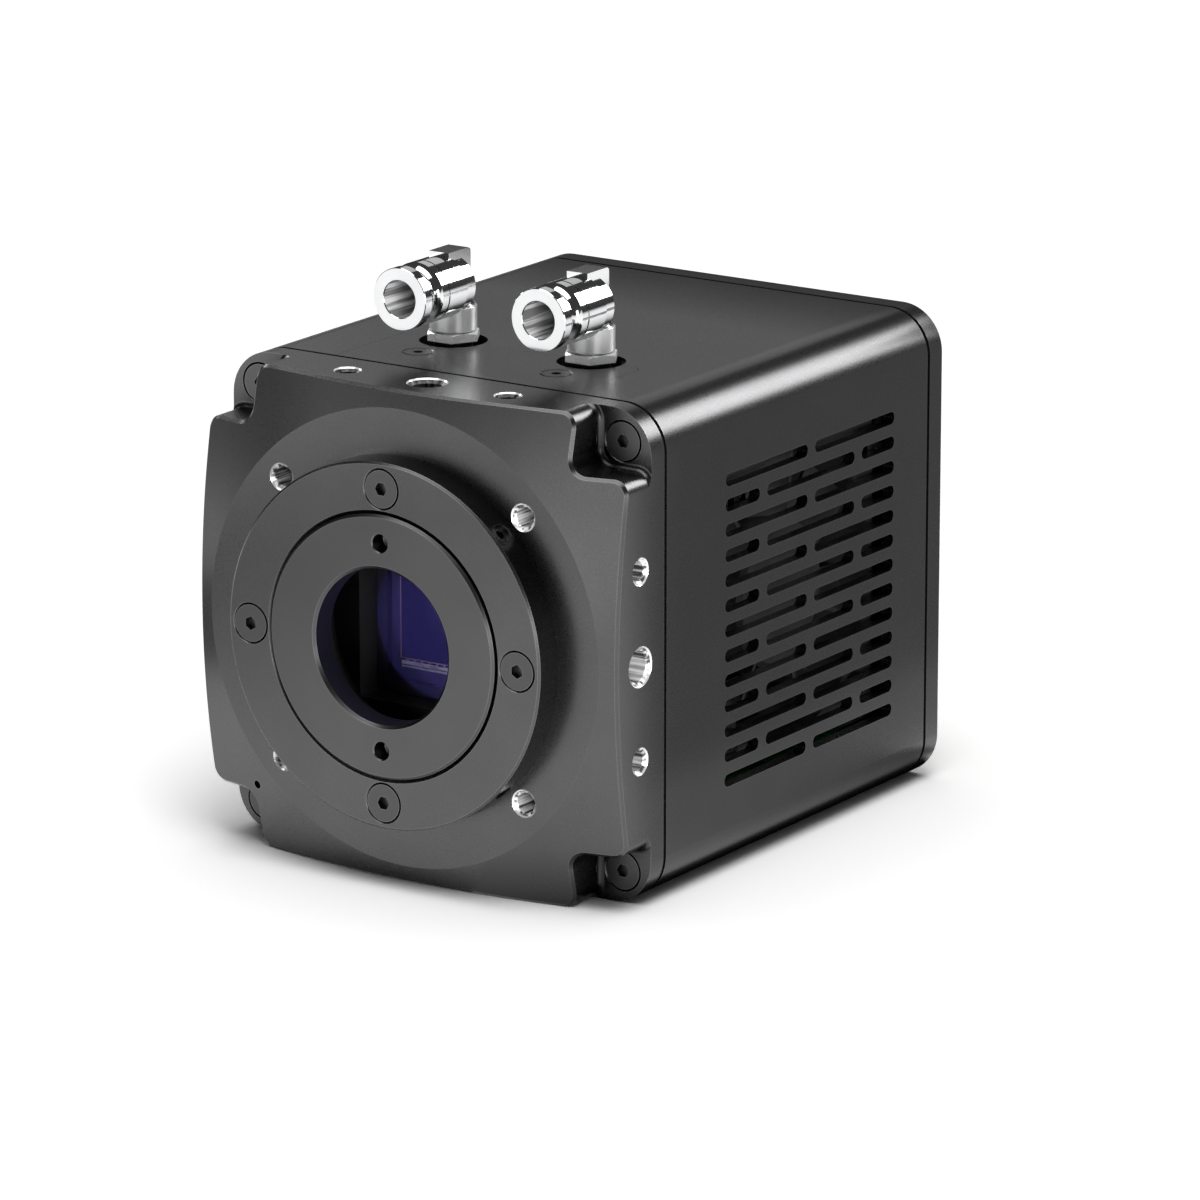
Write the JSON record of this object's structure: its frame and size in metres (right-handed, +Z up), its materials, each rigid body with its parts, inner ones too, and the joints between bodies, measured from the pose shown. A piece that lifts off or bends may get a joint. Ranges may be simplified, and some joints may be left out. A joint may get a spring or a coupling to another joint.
{
  "type": "scientific camera",
  "caption": "Square dark-grey cooled scientific camera with a ringed C-mount lens opening, slotted side vents and chrome elbow fittings for cooling tubes on top.",
  "frame": {"origin": "on the optical axis, in the plane of the mount ring's front face, inside the lens opening", "axes": "+Z up, lens opening faces -Y, +X to the right of someone who looks at the front"},
  "size_m": [0.08, 0.1125, 0.0951],
  "materials": {
    "anodised": "satin dark grey anodised",
    "insert_black": "satin dark grey anodised",
    "screw_black": "black oxide",
    "chrome": "bright nickel plate",
    "seal_rubber": "matt",
    "window_glass": "blue-violet anti-reflection coating",
    "chamber_black": "matt black anodised",
    "sensor_ceramic": "dark ceramic",
    "sensor_silicon": "polished, blue-violet sheen",
    "board_green": "solder resist",
    "copper_block": "bare copper",
    "cooler_ceramic": "white alumina",
    "exchanger_metal": "bare machined",
    "fan_plastic": "moulded",
    "post_brass": "nickel-free brass",
    "connector_plastic": "moulded",
    "port_metal": "nickel plate",
    "port_plastic": "moulded",
    "port_gold": "gold plate",
    "light_pipe": "tinted clear"
  },
  "bodies": {
    "housing": {"board_connector": "connector_plastic", "cold_block": "copper_block", "cooler_posts": "post_brass", "data_port": "port_metal", "fan_frame": "fan_plastic", "fan_header": "connector_plastic", "fan_screws": "screw_black", "front_corner_screws": "screw_black", "front_gasket": "seal_rubber", "front_plate": "anodised", "heat_exchanger": "exchanger_metal", "interface_board": "board_green", "interface_board_posts": "post_brass", "left_stud": "chrome", "main_board": "board_green", "main_board_posts": "post_brass", "mount_ring": "anodised", "panel_screws": "screw_black", "port_panel": "anodised", "power_jack": "port_plastic", "rear_corner_screws": "screw_black", "rear_gasket": "seal_rubber", "rear_plate": "anodised", "right_stud": "chrome", "ring_screws": "screw_black", "sensor_board": "board_green", "sensor_die": "sensor_silicon", "sensor_frame": "chamber_black", "sensor_package": "sensor_ceramic", "set_screws": "screw_black", "shell": "anodised", "status_light": "light_pipe", "stud_seals": "seal_rubber", "thermoelectric_cooler": "cooler_ceramic", "trigger_ports": "port_gold", "window_glass": "window_glass", "window_retainer": "chamber_black", "window_seal": "seal_rubber"},
    "lens_insert": {"c_mount_insert": "insert_black"},
    "left_elbow": {"left_elbow": "chrome", "left_tube_seal": "seal_rubber"},
    "right_elbow": {"right_elbow": "chrome", "right_tube_seal": "seal_rubber"},
    "left_collar": {"left_release_collar": "chrome"},
    "right_collar": {"right_release_collar": "chrome"},
    "fan": {"fan_rotor": "fan_plastic"}
  },
  "joints": [
    {"name": "insert_turn", "type": "hinge", "parent": "housing", "child": "lens_insert", "pos_m": [0, 0, 0], "axis": [0, -1, 0], "range_deg": [-180, 180]},
    {"name": "left_swivel", "type": "hinge", "parent": "housing", "child": "left_elbow", "pos_m": [-0.01328, 0.03906, 0.044], "axis": [0, 0, 1], "range_deg": [-215, 35]},
    {"name": "right_swivel", "type": "hinge", "parent": "housing", "child": "right_elbow", "pos_m": [0.01328, 0.03906, 0.044], "axis": [0, 0, 1], "range_deg": [-35, 215]},
    {"name": "left_release", "type": "slide", "parent": "left_elbow", "child": "left_collar", "axis": [0, 1, 0], "range_m": [0, 0.0011], "stiffness_N_per_m": 5000},
    {"name": "right_release", "type": "slide", "parent": "right_elbow", "child": "right_collar", "axis": [0, 1, 0], "range_m": [0, 0.0011], "stiffness_N_per_m": 5000},
    {"name": "fan_spin", "type": "hinge", "parent": "housing", "child": "fan", "pos_m": [0.03, 0.06227, 0], "axis": [1, 0, 0], "continuous": true}
  ]
}
